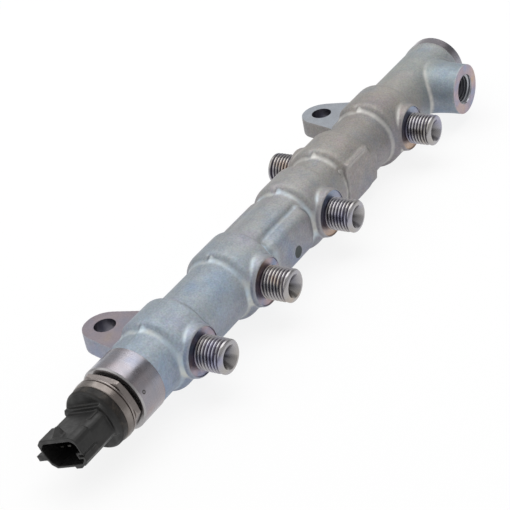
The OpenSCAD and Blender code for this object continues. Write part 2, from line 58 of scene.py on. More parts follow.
# sizes are in millimetres from the middle of the rail's near end, which lies here in the part's frame
NEAR_X, AXIS_Y = -116.6, -23.8
RAIL_LEN, TUBE_R, HUB_R = 273.1, 13.7, 16.5
PORTS = (36.0, 84.6, 137.5, 212.2)
INLET, SIDE = 165.3, 251.3
EARS = (30.3, 202.9)
# each stud: its station, its ring face and its tip as heights over the axis, and its turn about Z
RINGS = [(x, 16.9, 29.1, 0) for x in PORTS] + [(INLET, 15.9, 28.1, 180)]
# the dies parted on a plane through the axis, a little off the upright
PARTING = math.radians(83)
VOXEL = 0.65


def lathe(points, steps=96, closed=False):
    """Turned solid about the rail axis from [x, r] points; it runs from axis to axis or round a ring."""
    bm = bmesh.new()
    ring = [bm.verts.new((x, 0, r)) for x, r in points]
    edges = [bm.edges.new(pair) for pair in zip(ring, ring[1:])]
    if closed:
        edges.append(bm.edges.new((ring[-1], ring[0])))
    bmesh.ops.spin(bm, geom=ring + edges, cent=(0, 0, 0), axis=(1, 0, 0), dvec=(0, 0, 0),
                   angle=2 * math.pi, steps=steps, use_merge=True)
    bmesh.ops.remove_doubles(bm, verts=bm.verts, dist=1e-5)
    bmesh.ops.recalc_face_normals(bm, faces=bm.faces)
    return bm


def take(bm, other, matrix=Matrix()):
    """Adds the other mesh to this one and frees it."""
    bmesh.ops.transform(other, matrix=matrix, verts=other.verts)
    held = bpy.data.meshes.new("held")
    other.to_mesh(held)
    other.free()
    bm.from_mesh(held)
    bpy.data.meshes.remove(held)


def to_port(x, turn=0.0):
    """Places a solid turned about X so that it leaves the rail axis towards -Y (turn 0) or +Y (turn 180)."""
    return Matrix.Translation((x, 0, 0)) @ Matrix.Rotation(math.radians(-90 + turn), 4, "Z")


def s_curve(x, low, high, r):
    """Rounded step up from one radius to a higher one, as [x, r] points."""
    t = math.acos(1 - (high - low) / (2 * r))
    run = r * math.sin(t)
    up = [(x - run + r * math.sin(t * i / 6), low + r * (1 - math.cos(t * i / 6))) for i in range(7)]
    down = [(x + run - r * math.sin(t * i / 6), high - r * (1 - math.cos(t * i / 6))) for i in range(6, -1, -1)]
    return up + down


# a hub steps up in a wide curve towards the sensor and in a tight one on its far side
NEAR_STEP_R, FAR_STEP_R = 3.1, 1.3


def half_bar(shift, tube):
    """One half of the forged bar; the back half's hubs start nearer the sensor by the shift."""
    line = [(12.0, 0.0), (12.0, tube)]
    # each hub reaches this far from its port towards the sensor and away from it
    for x, near, far in ((PORTS[0], 9.6, 8.2), (PORTS[1], 9.6, 8.2), (PORTS[2], 9.6, 8.2),
                         (INLET, 7.3, 11.8), (PORTS[3], 12.6, 8.2)):
        line += s_curve(x - near - shift, tube, HUB_R, NEAR_STEP_R)
        line += [(2 * (x + far) - a, r) for a, r in reversed(s_curve(x + far, tube, HUB_R, FAR_STEP_R))]
    line += [(RAIL_LEN - 11, tube), (RAIL_LEN - 7.5, tube + 0.5), (RAIL_LEN - 5, tube + 0.4), (RAIL_LEN - 5, 0.0)]
    bm = lathe(line, 96)
    side = -1 if shift else 1
    cut = bmesh.ops.bisect_plane(bm, geom=bm.verts[:] + bm.edges[:] + bm.faces[:], plane_co=(0, 0, 0),
                                 plane_no=Vector((0, math.sin(PARTING), -math.cos(PARTING))) * side,
                                 clear_outer=True)
    bmesh.ops.holes_fill(bm, edges=[e for e in cut["geom_cut"] if isinstance(e, bmesh.types.BMEdge)], sides=0)
    return bm


# the front half stands a little proud of the back half
forging = bmesh.new()
take(forging, half_bar(0.0, TUBE_R + 0.1))
take(forging, half_bar(1.6, TUBE_R - 0.05))

# a round boss carries each stud
for x, ring, tip, turn in RINGS:
    boss = lathe([(8, 0), (8, 11.6), (11, 11.0), (14, 10.7), (ring - 0.5, 10.6), (ring, 10.3), (ring, 0)], 64)
    take(forging, boss, to_port(x, turn))

# the side boss spreads along the tube where it meets it, but not above it
side_boss = lathe([(0, 0), (0, 18.0), (6, 18.0), (9, 16.4), (11.5, 14.6), (14, 13.2), (17, 12.1), (20, 11.7),
                   (25.6, 11.6), (26.5, 11.6), (26.5, 0)], 64)
SIDE_BOSS_Z = 11.8
for v in side_boss.verts:
    r = math.hypot(v.co.y, v.co.z)
    if r > SIDE_BOSS_Z:
        v.co.z *= SIDE_BOSS_Z / r
take(forging, side_boss, to_port(SIDE))


def block_along(sections):
    """Closed block drawn through like outlines of [y, z] points at stations along X."""
    bm = bmesh.new()
    x, outline = sections[0]
    rim = bm.faces.new([bm.verts.new((x, y, z)) for y, z in outline])
    for x, outline in sections[1:]:
        grown = bmesh.ops.extrude_face_region(bm, geom=[rim])
        rim = next(g for g in grown["geom"] if isinstance(g, bmesh.types.BMFace))
        for v, (y, z) in zip(rim.verts, outline):
            v.co = (x, y, z)
    return bm


# the clamping pads between hubs 2 and 3 rise in a slope from the far face of hub 2
PAD_NEAR, PAD_FAR = 95.3, 124.4
pad_half = [(-8.0, 10.6), (-10.4, 10.0), (-12.6, 8.9), (-14.0, 7.6), (-14.5, 6.2)]
pad_outline = pad_half + [(y, -z) for y, z in reversed(pad_half)] + [(-y, -z) for y, z in pad_half] + \
    [(-y, z) for y, z in reversed(pad_half)]
pad_low = [(y * 0.93, z * 0.93) for y, z in pad_outline]
pad_end = [(y * 0.97, z * 0.9) for y, z in pad_outline]
take(forging, block_along([(PAD_NEAR + 0.4, pad_low), (101.3, pad_outline), (PAD_FAR - 1.2, pad_outline),
                           (PAD_FAR, pad_end)]))



def slab(outline, reach):
    """Closed slab: a flat outline of points drawn out by one vector."""
    bm = bmesh.new()
    face = bm.faces.new([bm.verts.new(p) for p in outline])
    grown = bmesh.ops.extrude_face_region(bm, geom=[face])
    bmesh.ops.translate(bm, vec=reach, verts=[g for g in grown["geom"] if isinstance(g, bmesh.types.BMVert)])
    return bm


# the block beside the inlet has a slanting far end
BLOCK_Y = 13.5
block_face = ((-6.2, -9.8), (17.6, -9.8), (18.6, -4.9), (12.6, 10.2), (-6.2, 10.2))
take(forging, slab([(INLET + x, -BLOCK_Y, z) for x, z in block_face], (0, BLOCK_Y, 0)))

# the ears reach back from the axis; their flanks spread towards the tube, and they are forged 1 mm
# thicker on both sides than they are milled
EAR_R, EAR_REACH, EAR_TOP = 9.3, 23.8, 8.0
near, far = math.radians(13), math.radians(18)
for x in EARS:
    ear = bmesh.new()
    bmesh.ops.create_cone(ear, cap_ends=True, cap_tris=False, segments=64, radius1=EAR_R, radius2=EAR_R - 0.15,
                          depth=EAR_TOP + 2, matrix=Matrix.Translation((x, EAR_REACH, EAR_TOP / 2)))
    take(forging, ear)
    web = ((-(EAR_R / math.cos(near) + EAR_REACH * math.tan(near)), -EAR_REACH),
           (EAR_R / math.cos(far) + EAR_REACH * math.tan(far), -EAR_REACH),
           (EAR_R * math.cos(far), EAR_R * math.sin(far)),
           (-EAR_R * math.cos(near), EAR_R * math.sin(near)))
    take(forging, slab([(x + a, EAR_REACH + b, -1) for a, b in web], (0, 0, EAR_TOP + 2)))
    # a low swelling where the far flank runs into the hub
    swell = bmesh.new()
    place = Matrix.Translation((x + 14.6, 10.6, 7.2)) @ Matrix.Diagonal((3.4, 4.2, 4.6, 1))
    bmesh.ops.create_uvsphere(swell, u_segments=24, v_segments=16, radius=1.0, matrix=place)
    take(forging, swell)

bmesh.ops.recalc_face_normals(forging, faces=forging.faces)
raw = bpy.data.meshes.new("raw_forging")
forging.to_mesh(raw)
forging.free()


def fuse(mesh, voxel):
    """One closed skin round overlapping solids, in even faces of the voxel's size."""
    held = bpy.data.objects.new("held", mesh)
    bpy.context.collection.objects.link(held)
    skin = held.modifiers.new("one metal", "REMESH")
    skin.mode, skin.voxel_size, skin.adaptivity = "VOXEL", voxel, 0.0
    bpy.context.view_layer.update()
    fused = bpy.data.meshes.new_from_object(held.evaluated_get(bpy.context.evaluated_depsgraph_get()))
    bpy.data.objects.remove(held)
    bm = bmesh.new()
    bm.from_mesh(fused)
    bpy.data.meshes.remove(fused)
    return bm


def soften(bm, passes):
    for turn in range(passes):
        bmesh.ops.smooth_vert(bm, verts=bm.verts, factor=0.5, use_axis_x=True, use_axis_y=True, use_axis_z=True)


skin = fuse(raw, VOXEL)
soften(skin, 3)
# the front of the inlet hub is struck flat below a raised edge, with a groove at its near end, and
# a shallow valley runs round the upper and near edges of the front pad
FLAT_Y, GROOVE_DEEP = -13.4, 2.0
RIDGE_Z, RIDGE_HIGH = 8.7, 0.9
VALLEY_TURN, VALLEY_DEEP = 51, 0.6
for v in skin.verts:
    x, y, z = v.co
    if y < -5 and PAD_NEAR - 3 < x < PAD_FAR + 3:
        turn = math.degrees(math.atan2(z, -y))
        off = math.hypot(min(0.0, x - PAD_NEAR - 1.5), math.radians(turn - VALLEY_TURN) * TUBE_R)
        if turn < VALLEY_TURN - 2:
            off = min(off, abs(x - PAD_NEAR + 0.6))
        r = math.hypot(y, z)
        k = 1 - VALLEY_DEEP * math.exp(-(off / 1.5) ** 2) / r * max(0.0, min(1.0, (PAD_FAR + 1 - x) / 3))
        v.co.y, v.co.z = y * k, z * k
    if y < -6 and INLET - 10 < x < INLET + 19:
        if x > INLET - 6.4 and y < FLAT_Y and z < RIDGE_Z:
            v.co.y = FLAT_Y
        elif INLET - 6.4 < x < INLET + 11.5 and 7.5 < z < 12:
            k = 1 + RIDGE_HIGH * math.exp(-((z - RIDGE_Z - 0.7) / 0.75) ** 2) / math.hypot(y, z)
            v.co.y, v.co.z = y * k, z * k
        elif x <= INLET - 5.6 and z < 9:
            dip = GROOVE_DEEP * math.exp(-((x - INLET + 7.9) / 0.9) ** 2) \
                - 0.8 * math.exp(-((x - INLET + 6.1) / 0.7) ** 2)
            r = math.hypot(y, z)
            k = (min(r, 14.4) - dip) / r
            v.co.y, v.co.z = y * k, z * k
soften(skin, 2)
fused = bpy.data.meshes.new("forging")
skin.to_mesh(fused)
skin.free()


def put(tree, kind, inputs=None, **props):
    """Adds a shader node, sets its properties, and sets or links its inputs."""
    made = tree.nodes.new("ShaderNode" + kind)
    for key, value in props.items():
        setattr(made, key, value)
    for key, value in (inputs or {}).items():
        if isinstance(value, bpy.types.NodeSocket):
            tree.links.new(value, made.inputs[key])
        else:
            made.inputs[key].default_value = value
    return made


def stops(tree, fac, *marks):
    """Colour ramp through marks of position and colour."""
    made = put(tree, "ValToRGB", {"Fac": fac})
    first, last = made.color_ramp.elements[0], made.color_ramp.elements[1]
    first.position, first.color = marks[0][0], (*marks[0][1], 1)
    last.position, last.color = marks[-1][0], (*marks[-1][1], 1)
    for place, colour in marks[1:-1]:
        made.color_ramp.elements.new(place).color = (*colour, 1)
    return made.outputs["Color"]


def grey(value):
    return (value, value, value)


def span(tree, value, low, high, to_low=0.0, to_high=1.0):
    """Stretches a value's range to another, held at its ends."""
    return put(tree, "MapRange", {"Value": value, "From Min": low, "From Max": high, "To Min": to_low,
                                  "To Max": to_high}).outputs["Result"]


def blend(tree, fac, a, b, how="MIX"):
    return put(tree, "Mix", {0: fac, 6: a, 7: b}, data_type="RGBA", blend_type=how).outputs[2]


def sums(tree, how, a, b):
    return put(tree, "Math", {0: a, 1: b}, operation=how).outputs[0]


def speckle(tree, where, scale, detail=2.0, rough=0.5):
    made = put(tree, "TexNoise", {"Vector": where, "Scale": scale, "Detail": detail, "Roughness": rough})
    return made.outputs["Fac"]


def finish(name, metallic, rough):
    """Starts a material; gives it, its tree, its shader and the object's coordinates."""
    made = bpy.data.materials.new(name)
    made.use_nodes = True
    tree = made.node_tree
    shader = tree.nodes["Principled BSDF"]
    shader.inputs["Metallic"].default_value = metallic
    shader.inputs["Roughness"].default_value = rough
    return made, tree, shader, put(tree, "TexCoord").outputs["Object"]


def bumps(tree, shader, height, depth, strength, after=None):
    """Gives the shader a bump of the given depth in metres, on top of another one if that is given."""
    inputs = {"Height": height, "Distance": depth, "Strength": strength}
    if after is not None:
        inputs["Normal"] = after
    made = put(tree, "Bump", inputs).outputs["Normal"]
    tree.links.new(made, shader.inputs["Normal"])
    return made


# blue-grey at the sensor end, warm grey from hub 3 to hub 4, and cooler again at the far end
forged, tree, shader, where = finish("forged_zinc", 0.6, 0.55)
axes = put(tree, "SeparateXYZ", {"Vector": where})
along = span(tree, axes.outputs["X"], -0.105, 0.157)
base = stops(tree, along, (0.0, (0.30, 0.36, 0.43)), (0.2, (0.31, 0.35, 0.39)), (0.42, (0.33, 0.345, 0.36)),
             (0.56, (0.335, 0.325, 0.315)), (0.72, (0.29, 0.28, 0.275)), (0.80, (0.35, 0.34, 0.325)),
             (0.88, (0.325, 0.35, 0.355)), (1.0, (0.35, 0.37, 0.38)))
# the lower slopes are painted a little darker and bluer, as shade, and there are stains of beige, rose and blue
# left by the plating
down = span(tree, axes.outputs["Z"], 0.010, -0.010)
base = blend(tree, down, base, (0.93, 0.93, 1.03, 1), "MULTIPLY")
# the front of the tube between the near hubs is paler
pale = sums(tree, "MULTIPLY", span(tree, axes.outputs["Y"], -0.0290, -0.0345),
            span(tree, axes.outputs["Y"], -0.0395, -0.0375))
pale = sums(tree, "MULTIPLY", pale, span(tree, axes.outputs["Z"], -0.003, 0.004))
pale = sums(tree, "MULTIPLY", pale, span(tree, axes.outputs["X"], -0.010, -0.030))
base = blend(tree, pale, base, (1.32, 1.31, 1.29, 1), "MULTIPLY")
# the fronts of the bosses turn to violet, the side boss to blue, and the near ear's side to rose
front = span(tree, axes.outputs["Y"], -0.0370, -0.0378)
base = blend(tree, sums(tree, "MULTIPLY", front, 0.5), base, (1.0, 0.94, 1.0, 1), "MULTIPLY")
mouth = sums(tree, "MULTIPLY", span(tree, axes.outputs["Y"], -0.030, -0.042),
             span(tree, axes.outputs["X"], 0.110, 0.122))
base = blend(tree, mouth, base, (0.86, 0.98, 1.06, 1), "MULTIPLY")
back = sums(tree, "MULTIPLY", span(tree, axes.outputs["Y"], -0.016, -0.006),
            span(tree, axes.outputs["X"], 0.02, -0.02))
base = blend(tree, back, base, (1.08, 0.94, 0.95, 1), "MULTIPLY")
stain = stops(tree, speckle(tree, where, 55, 3.0, 0.55), (0.30, (0.90, 0.97, 1.07)), (0.44, (1.0, 1.0, 1.0)),
              (0.56, (1.03, 1.0, 0.96)), (0.70, (1.05, 0.97, 1.0)))
base = blend(tree, 1.0, base, stain, "MULTIPLY")
patch = stops(tree, speckle(tree, where, 210, 3.0, 0.6), (0.32, (0.92, 0.94, 0.97)), (0.5, (1.0, 1.0, 1.0)),
              (0.68, (1.06, 1.05, 1.03)))
base = blend(tree, 1.0, base, patch, "MULTIPLY")
# the blasting leaves a fine grain, with a faint tint that changes from grain to grain
grain = speckle(tree, where, 1300, 3.0, 0.6)
base = blend(tree, 1.0, base, stops(tree, grain, (0.32, grey(0.86)), (0.5, grey(1.0)), (0.7, grey(1.15))),
             "MULTIPLY")
tint = put(tree, "TexNoise", {"Vector": where, "Scale": 900.0, "Detail": 2.0}).outputs["Color"]
tint = blend(tree, 0.22, (0.5, 0.5, 0.5, 1), tint)
base = blend(tree, 0.45, base, tint, "OVERLAY")
# hollows that face the sensor end get a painted pale blue highlight, and rounded edges a painted lighter
# highlight
hollow = span(tree, put(tree, "NewGeometry").outputs["Pointiness"], 0.4985, 0.486)
hollow = sums(tree, "MULTIPLY", hollow, span(tree, speckle(tree, where, 240, 3.0), 0.3, 0.6, 0.5, 0.95))
facing = put(tree, "SeparateXYZ", {"Vector": put(tree, "NewGeometry").outputs["Normal"]}).outputs["X"]
# on the far sides of the hubs the hollows get painted shade instead
shade = sums(tree, "MULTIPLY", hollow, span(tree, facing, 0.05, 0.3, 0.0, 0.65))
base = blend(tree, shade, base, (0.13, 0.15, 0.18, 1))
hollow = sums(tree, "MULTIPLY", hollow, span(tree, facing, 0.1, -0.25, 0.1, 1.0))
# the painted highlight also covers the near end of the front pad
bay = sums(tree, "SUBTRACT", axes.outputs["X"], (PAD_NEAR + 0.6 + NEAR_X) * MM)
bay = span(tree, sums(tree, "ABSOLUTE", bay, 0.0), 0.0035, 0.0005)
bay = sums(tree, "MULTIPLY", bay, span(tree, axes.outputs["Y"], -0.0335, -0.0355))
bay = sums(tree, "MULTIPLY", bay, span(tree, speckle(tree, where, 240, 3.0), 0.3, 0.6, 0.2, 0.7))
hollow = sums(tree, "MAXIMUM", hollow, bay)
# painted highlight colour for the hollows, warmer from hub 3 on
hollow_highlight = stops(tree, speckle(tree, where, 130, 2.0), (0.4, (0.52, 0.63, 0.72)), (0.62, (0.70, 0.71, 0.66)))
warm = span(tree, axes.outputs["X"], 0.0, 0.035)
hollow_highlight = blend(tree, warm, hollow_highlight, (0.60, 0.59, 0.565, 1))
base = blend(tree, hollow, base, hollow_highlight)
# painted highlight: rounded edges are coloured lighter
edge = span(tree, put(tree, "NewGeometry").outputs["Pointiness"], 0.512, 0.55)
base = blend(tree, sums(tree, "MULTIPLY", edge, 0.5), base, (0.52, 0.51, 0.50, 1))
# the line where the dies met
off = put(tree, "VectorMath", {0: where, 1: (0.0, AXIS_Y * MM, 0.0)}, operation="SUBTRACT").outputs["Vector"]
off = put(tree, "VectorMath", {0: off, 1: (0.0, math.sin(PARTING), -math.cos(PARTING))},
          operation="DOT_PRODUCT").outputs["Value"]
seam = span(tree, sums(tree, "ABSOLUTE", off, 0.0), 0.0003, 0.0)
seam = sums(tree, "MULTIPLY", seam, span(tree, axes.outputs["Z"], 0.009, 0.011))
seam = sums(tree, "MULTIPLY", seam, span(tree, speckle(tree, where, 120), 0.42, 0.6))
base = blend(tree, sums(tree, "MULTIPLY", seam, 0.3), base, (0.16, 0.16, 0.17, 1))
# a dot of black paint on the front pad
DOT = ((111.5 + NEAR_X) * MM, (AXIS_Y - 14.5) * MM, -3.4 * MM)
far = put(tree, "VectorMath", {0: where, 1: DOT}, operation="DISTANCE").outputs["Value"]
far = sums(tree, "ADD", far, span(tree, speckle(tree, where, 500), 0.3, 0.7, -0.00012, 0.00012))
dot = span(tree, far, 0.00272, 0.00255)
base = blend(tree, dot, base, (0.035, 0.045, 0.047, 1))
tree.links.new(base, shader.inputs["Base Color"])
tree.links.new(sums(tree, "MULTIPLY", sums(tree, "SUBTRACT", 1.0, dot), 0.6), shader.inputs["Metallic"])
tree.links.new(span(tree, speckle(tree, where, 260, 3.0), 0.3, 0.7, 0.5, 0.62), shader.inputs["Roughness"])
coarse = bumps(tree, shader, speckle(tree, where, 150, 2.0), 0.0006, 0.5)
bumps(tree, shader, grain, 0.00016, 0.7, coarse)

# The machining of the forging: the ring faces round the studs, both sides of the ears and the face
# of the side boss are milled, and the ear holes and the side boss's tapped hole are drilled. The
# plating is brighter there, and stained rose, violet and straw.
SPOT_DEEP, SIDE_FACE_Y, EAR_HOLE_R = 0.8, -25, 4.5
TAP_R, TAP_ROOT_R, PITCH = 7.05, 6.2, 1.5
TAP_END, TAP_MOUTH = 13.0, 26.0
cutters = bmesh.new()


def drill(bm, x, y, z, axis, r, depth):
    """Cutter of radius r whose first face is at x, y, z and which runs on along the axis."""
    way = Vector(axis).normalized()
    bmesh.ops.create_cone(bm, cap_ends=True, cap_tris=False, segments=64, radius1=r, radius2=r, depth=depth,
                          matrix=Matrix.Translation(Vector((x, y, z)) + way * depth / 2)
                          @ Vector((0, 0, 1)).rotation_difference(way).to_matrix().to_4x4())


def rolled_thread(start, end, crest, root, pitch, limit):
    """Right-handed helical surface about X between two stations, its radius held by the limit."""
    bm = bmesh.new()
    steps = 64
    flank = (crest - root) * math.tan(math.radians(30))
    flat = (pitch - 2 * flank) / 2
    line, a = [], start - pitch
    while a < end + pitch:
        line += [(a, root), (a + flat * 0.6, root), (a + flat * 0.6 + flank, crest),
                 (a + flat * 2 + flank, crest)]
        a += pitch
    line.append((a, root))
    row = [bm.verts.new((x, 0, r)) for x, r in line]
    edges = [bm.edges.new(pair) for pair in zip(row, row[1:])]
    bmesh.ops.spin(bm, geom=row + edges, cent=(0, 0, 0), axis=(1, 0, 0), dvec=(pitch / steps, 0, 0),
                   angle=2 * math.pi, steps=steps)
    bmesh.ops.remove_doubles(bm, verts=bm.verts, dist=1e-4)
    for station, way in ((start, -1), (end, 1)):
        bmesh.ops.bisect_plane(bm, geom=bm.verts[:] + bm.edges[:] + bm.faces[:], plane_co=(station, 0, 0),
                               plane_no=(way, 0, 0), clear_outer=True)
    for v in bm.verts:
        r = math.hypot(v.co.y, v.co.z)
        k = limit(v.co.x, r) / r
        v.co.y, v.co.z = v.co.y * k, v.co.z * k
    return bm


def open_rim(bm, x):
    """The edges of an open end at a station."""
    return [e for e in bm.edges if e.is_boundary and all(abs(v.co.x - x) < 1e-3 for v in e.verts)]


def in_place(bm):
    """Moves a mesh drawn in millimetres from the near end of the rail into the part's frame."""
    bmesh.ops.transform(bm, matrix=Matrix.Scale(MM, 4) @ Matrix.Translation((NEAR_X, AXIS_Y, 0)),
                        verts=bm.verts)


def piece(name, bm, node, slot, *materials, crease):
    """Makes an object of a finished mesh, keeps its sharp edges, and lets it stand for its CAD node."""
    in_place(bm)
    bmesh.ops.recalc_face_normals(bm, faces=bm.faces)
    mesh = bpy.data.meshes.new(name)
    bm.to_mesh(mesh)
    bm.free()
    mesh.polygons.foreach_set("use_smooth", [True] * len(mesh.polygons))
    mesh.set_sharp_from_angle(angle=math.radians(crease))
    made = bpy.data.objects.new(name, mesh)
    bpy.context.collection.objects.link(made)
    for m in materials:
        mesh.materials.append(m)
    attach(made, "root")
    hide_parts(node)


def draw_on(bm, rim, stations):
    """Draws an open rim on through [x, r] stations and closes its last ring."""
    for x, r in stations:
        grown = bmesh.ops.extrude_edge_only(bm, edges=rim)["geom"]
        for v in (g for g in grown if isinstance(g, bmesh.types.BMVert)):
            k = r / math.hypot(v.co.y, v.co.z)
            v.co = (x, v.co.y * k, v.co.z * k)
        rim = [g for g in grown if isinstance(g, bmesh.types.BMEdge) and g.is_boundary]
    bmesh.ops.holes_fill(bm, edges=rim, sides=0)


# an end mill sinks a shallow ring face round each stud, and flat cutters face the side boss and
# both sides of the ears
for x, ring, tip, turn in RINGS:
    spot = lathe([(ring - SPOT_DEEP, 0), (ring - SPOT_DEEP, 9.3), (ring - 0.65, 9.6), (ring + 0.4, 10.0),
                  (ring + 0.4, 0)], 96)
    take(cutters, spot, to_port(x, turn))
drill(cutters, SIDE, SIDE_FACE_Y, 0, (0, -1, 0), 14, 10)
for x in EARS:
    for y, z in ((27.2, EAR_TOP + 5), (32.9, -5)):
        bmesh.ops.create_cube(cutters, size=1.0,
                              matrix=Matrix.Translation((x, y, z)) @ Matrix.Diagonal((44, 32, 10, 1)))
# the side boss is drilled and tapped, and the ears are drilled
taps = bmesh.new()
tap = rolled_thread(TAP_END, TAP_MOUTH, TAP_R, TAP_ROOT_R, PITCH,
                    lambda x, r: max(r, TAP_R - max(0.0, 24.85 - x)))
draw_on(tap, open_rim(tap, TAP_MOUTH), [(26.5, 6.0)])
draw_on(tap, open_rim(tap, TAP_END), [(12.8, TAP_ROOT_R), (9.4, 2.2), (3.0, 2.0)])
bmesh.ops.recalc_face_normals(tap, faces=tap.faces)
take(taps, tap, to_port(SIDE))
for x in EARS:
    drill(taps, x, EAR_REACH, -0.5, (0, 0, 1), EAR_HOLE_R, 9)

machined, tree, shader, where = finish("machined_zinc", 0.8, 0.38)
hue = stops(tree, speckle(tree, where, 110, 2.0, 0.5), (0.30, (0.26, 0.31, 0.44)), (0.42, (0.33, 0.30, 0.38)),
            (0.52, (0.42, 0.33, 0.36)), (0.62, (0.45, 0.35, 0.34)), (0.72, (0.52, 0.38, 0.26)))
# on hubs 3 and 4 the ring faces are blue above and straw below, and the tops of the ears are plainer, darker on
# the near ear
axes = put(tree, "SeparateXYZ", {"Vector": where})
further = sums(tree, "MULTIPLY", span(tree, axes.outputs["X"], -0.005, 0.010, 0.0, 0.8),
               span(tree, axes.outputs["X"], 0.115, 0.105))
rise = stops(tree, span(tree, axes.outputs["Z"], 0.008, -0.008), (0.0, (0.27, 0.35, 0.48)),
             (0.5, (0.36, 0.34, 0.40)), (1.0, (0.52, 0.38, 0.28)))
hue = blend(tree, further, hue, rise)
plain = span(tree, axes.outputs["Y"], -0.020, -0.012, 0.0, 0.75)
sides = span(tree, axes.outputs["X"], -0.07, 0.07)
hue = blend(tree, plain, hue, stops(tree, sides, (0.0, (0.235, 0.215, 0.24)), (1.0, (0.44, 0.46, 0.48))))
fine = speckle(tree, where, 1500, 2.0)
hue = blend(tree, 1.0, hue, stops(tree, fine, (0.3, grey(0.9)), (0.7, grey(1.1))), "MULTIPLY")
tree.links.new(hue, shader.inputs["Base Color"])
tree.links.new(span(tree, speckle(tree, where, 300), 0.3, 0.7, 0.3, 0.46), shader.inputs["Roughness"])
bumps(tree, shader, fine, 0.00006, 0.5)

# the walls of the ear holes are painted dark as shade inside the holes, and the tapped hole's thread is brighter
bored, tree, shader, where = finish("bored_steel", 0.9, 0.3)
hue = stops(tree, speckle(tree, where, 160, 3.0), (0.3, (0.09, 0.09, 0.12)), (0.7, (0.20, 0.19, 0.21)))
port = span(tree, put(tree, "SeparateXYZ", {"Vector": where}).outputs["X"], 0.112, 0.116)
hue = blend(tree, port, hue, (0.42, 0.43, 0.46, 1))
tree.links.new(hue, shader.inputs["Base Color"])
bumps(tree, shader, speckle(tree, where, 1200), 0.00004, 0.5)

work = bpy.data.objects.new("work", fused)
bpy.context.collection.objects.link(work)
fused.materials.append(forged)
used = [work]
for name, bm, surface in (("mill", cutters, machined), ("borer", taps, bored)):
    mesh = bpy.data.meshes.new(name)
    bm.to_mesh(mesh)
    bm.free()
    mesh.materials.append(surface)
    used.append(bpy.data.objects.new(name, mesh))
    bpy.context.collection.objects.link(used[-1])
    cut = work.modifiers.new("machining", "BOOLEAN")
    cut.operation, cut.object, cut.solver = "DIFFERENCE", used[-1], "MANIFOLD"
    cut.material_mode = "TRANSFER"
bpy.context.view_layer.update()
body = bpy.data.meshes.new_from_object(work.evaluated_get(bpy.context.evaluated_depsgraph_get()))
for done in used:
    bpy.data.objects.remove(done)
skin = bmesh.new()
skin.from_mesh(body)
piece("rail_forging", skin, "rail_body", "zinc_steel", *body.materials, crease=40)

# The turned ends of the rail: two bright collars, the gallery drilled between them, and the bores
# for the sensor at the near end and for a valve at the far end. The lathe left fine rings.
COLLAR_R, BORE_R, FAR_BORE_R, GALLERY_R = 14.1, 9.15, 8.2, 5
turned, tree, shader, where = finish("turned_steel", 0.95, 0.36)
axes = put(tree, "SeparateXYZ", {"Vector": where})
marks = put(tree, "TexNoise", {"W": axes.outputs["X"], "Scale": 2600.0, "Detail": 3.0},
            noise_dimensions="1D").outputs["Fac"]
tone = stops(tree, speckle(tree, where, 70, 3.0), (0.3, (0.24, 0.26, 0.33)), (0.45, (0.30, 0.29, 0.32)),
             (0.58, (0.32, 0.29, 0.31)), (0.72, (0.34, 0.26, 0.24)))
tone = blend(tree, 1.0, tone, stops(tree, marks, (0.3, grey(0.9)), (0.7, grey(1.08))), "MULTIPLY")
# the collar is painted dark where it meets the forged skin, and a punch has left a small mark
collar_root_dark = span(tree, axes.outputs["X"], (NEAR_X + 13.15) * MM, (NEAR_X + 13.4) * MM)
collar_root_dark = sums(tree, "MULTIPLY", collar_root_dark, span(tree, axes.outputs["X"], (NEAR_X + 15) * MM, (NEAR_X + 14) * MM))
punch = put(tree, "VectorMath", {0: where, 1: ((NEAR_X + 2.8) * MM, (AXIS_Y - 13.27) * MM, 4.75 * MM)},
            operation="DISTANCE").outputs["Value"]
punch = span(tree, sums(tree, "ABSOLUTE", sums(tree, "SUBTRACT", punch, 0.0006), 0.0), 0.00035, 0.00015)
tone = blend(tree, sums(tree, "MAXIMUM", collar_root_dark, punch), tone, (0.07, 0.065, 0.065, 1))
# the chamfer at the near end is painted lighter, as a highlight
chamfer_highlight = span(tree, axes.outputs["X"], (NEAR_X + 0.68) * MM, (NEAR_X + 0.62) * MM)
tone = blend(tree, chamfer_highlight, tone, (0.38, 0.37, 0.375, 1))
tree.links.new(tone, shader.inputs["Base Color"])
tree.links.new(span(tree, speckle(tree, where, 200), 0.3, 0.7, 0.2, 0.32), shader.inputs["Roughness"])
bumps(tree, shader, marks, 0.00003, 0.8)
ends = lathe([(16, 12.4), (13.6, 13.4), (13.5, 13.7), (13.3, 14.05), (13.2, COLLAR_R), (0.65, COLLAR_R),
              (0.05, 13.5), (0, 13.3), (0, 9.6), (0.45, BORE_R), (16, BORE_R), (18.4, GALLERY_R),
              (RAIL_LEN - 18, GALLERY_R), (RAIL_LEN - 16, FAR_BORE_R), (RAIL_LEN - 0.9, FAR_BORE_R),
              (RAIL_LEN, 9.1), (RAIL_LEN, 13.3), (RAIL_LEN - 0.8, COLLAR_R), (RAIL_LEN - 6.8, COLLAR_R),
              (RAIL_LEN - 7.3, 13.3), (RAIL_LEN - 10, 12.4)], 128, closed=True)
piece("rail_ends", ends, "rail_body", "zinc_steel", turned, crease=25)
